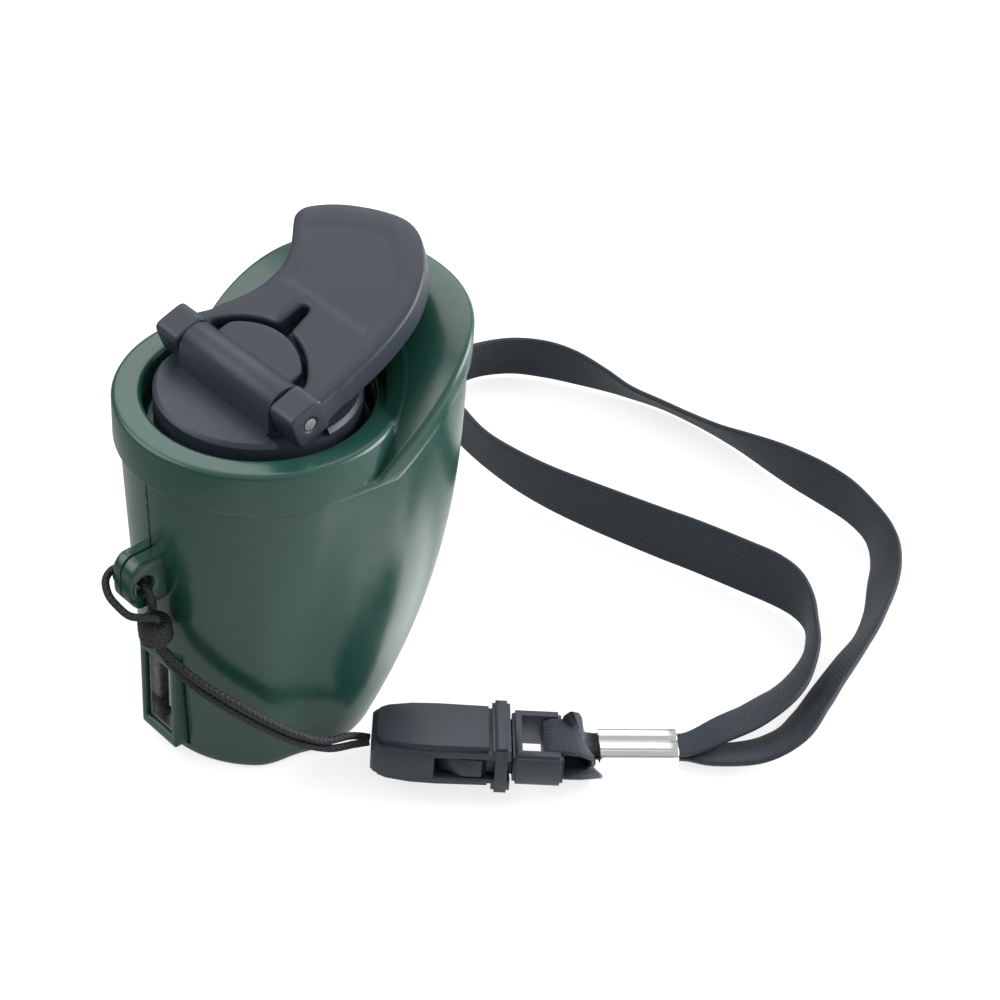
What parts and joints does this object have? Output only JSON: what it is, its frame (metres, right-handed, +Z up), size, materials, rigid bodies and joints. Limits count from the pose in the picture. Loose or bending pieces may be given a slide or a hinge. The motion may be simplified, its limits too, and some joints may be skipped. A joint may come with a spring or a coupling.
{
  "type": "hand crank generator",
  "caption": "Pocket hand crank generator with a folding crank handle, a USB port, a moulded lobed housing, inner gears and a wrist lanyard with a release buckle.",
  "frame": {"origin": "crank axis where it meets the flat base", "axes": "+Z up along the crank axis, +X towards the far lobe under the handle's tip, -X towards the USB port and the lanyard eye, +Y completes a right-handed frame"},
  "size_m": [0.1366, 0.1101, 0.0771],
  "materials": {
    "housing_green": "semi-gloss moulded",
    "crank_dark": "satin moulded",
    "gear_white": "moulded acetal",
    "steel": "plain",
    "nickel": "bright nickel",
    "brass": "turned",
    "magnet": "sintered",
    "rotor": "laminated core with copper winding",
    "board": "solder mask",
    "part_dark": "moulded",
    "capacitor_sleeve": "shrink sleeve",
    "tongue_white": "moulded",
    "lead_red": "insulation",
    "lead_black": "insulation",
    "buckle_black": "satin moulded",
    "cord_black": "braided",
    "webbing_black": "woven"
  },
  "bodies": {
    "housing": {"body_shell_left": "housing_green", "body_shell_right": "housing_green", "top_cover": "housing_green", "port_bezel": "housing_green", "usb_shell": "nickel", "usb_tongue": "tongue_white", "circuit_board": "board", "capacitor": "capacitor_sleeve", "regulator": "part_dark", "gear_plate": "steel", "plate_screw_1": "steel", "plate_screw_2": "steel", "plate_screw_3": "steel", "plate_screw_4": "steel", "shell_screw_1": "steel", "shell_screw_2": "steel", "shell_screw_3": "steel", "hub_bush": "brass", "idler_axle": "steel", "generator_can": "steel", "generator_end_cap": "part_dark", "magnet_ring": "magnet", "positive_lead": "lead_red", "negative_lead": "lead_black", "lanyard_cord": "cord_black", "cord_knot": "cord_black", "buckle_socket": "buckle_black"},
    "crank": {"crank_hub": "crank_dark", "drive_gear": "gear_white", "hub_screw": "steel"},
    "handle": {"crank_handle": "crank_dark", "hinge_pin": "steel", "knob_rivet": "steel"},
    "knob": {"grip_knob": "crank_dark"},
    "idler": {"idler_gear": "gear_white"},
    "rotor": {"generator_pinion": "brass", "generator_shaft": "steel", "rotor_core": "rotor"},
    "strap": {"buckle_prong": "buckle_black", "strap_webbing": "webbing_black", "strap_ferrule": "nickel"}
  },
  "joints": [
    {"name": "crank_spin", "type": "hinge", "parent": "housing", "child": "crank", "pos_m": [0, 0, 0], "axis": [0, 0, 1], "continuous": true},
    {"name": "handle_fold", "type": "hinge", "parent": "crank", "child": "handle", "pos_m": [-0.0033, 0, 0.064], "axis": [0, -1, 0], "range_deg": [0, 140]},
    {"name": "knob_spin", "type": "hinge", "parent": "handle", "child": "knob", "pos_m": [0.02019, 0.003, 0.07255], "axis": [-0.342, 0, 0.9397], "continuous": true},
    {"name": "idler_spin", "type": "hinge", "parent": "housing", "child": "idler", "pos_m": [0.0168, 0, 0], "axis": [0, 0, 1], "continuous": true},
    {"name": "generator_spin", "type": "hinge", "parent": "housing", "child": "rotor", "pos_m": [0.003, 0, 0], "axis": [0, 0, 1], "continuous": true},
    {"name": "buckle_release", "type": "slide", "parent": "housing", "child": "strap", "axis": [0.7266, -0.6871, 0], "range_m": [0, 0.014]}
  ],
  "couplings": [
    {"joint": "idler_spin", "follows": "crank_spin", "ratio": -3.6667},
    {"joint": "generator_spin", "follows": "crank_spin", "ratio": 13.2}
  ]
}
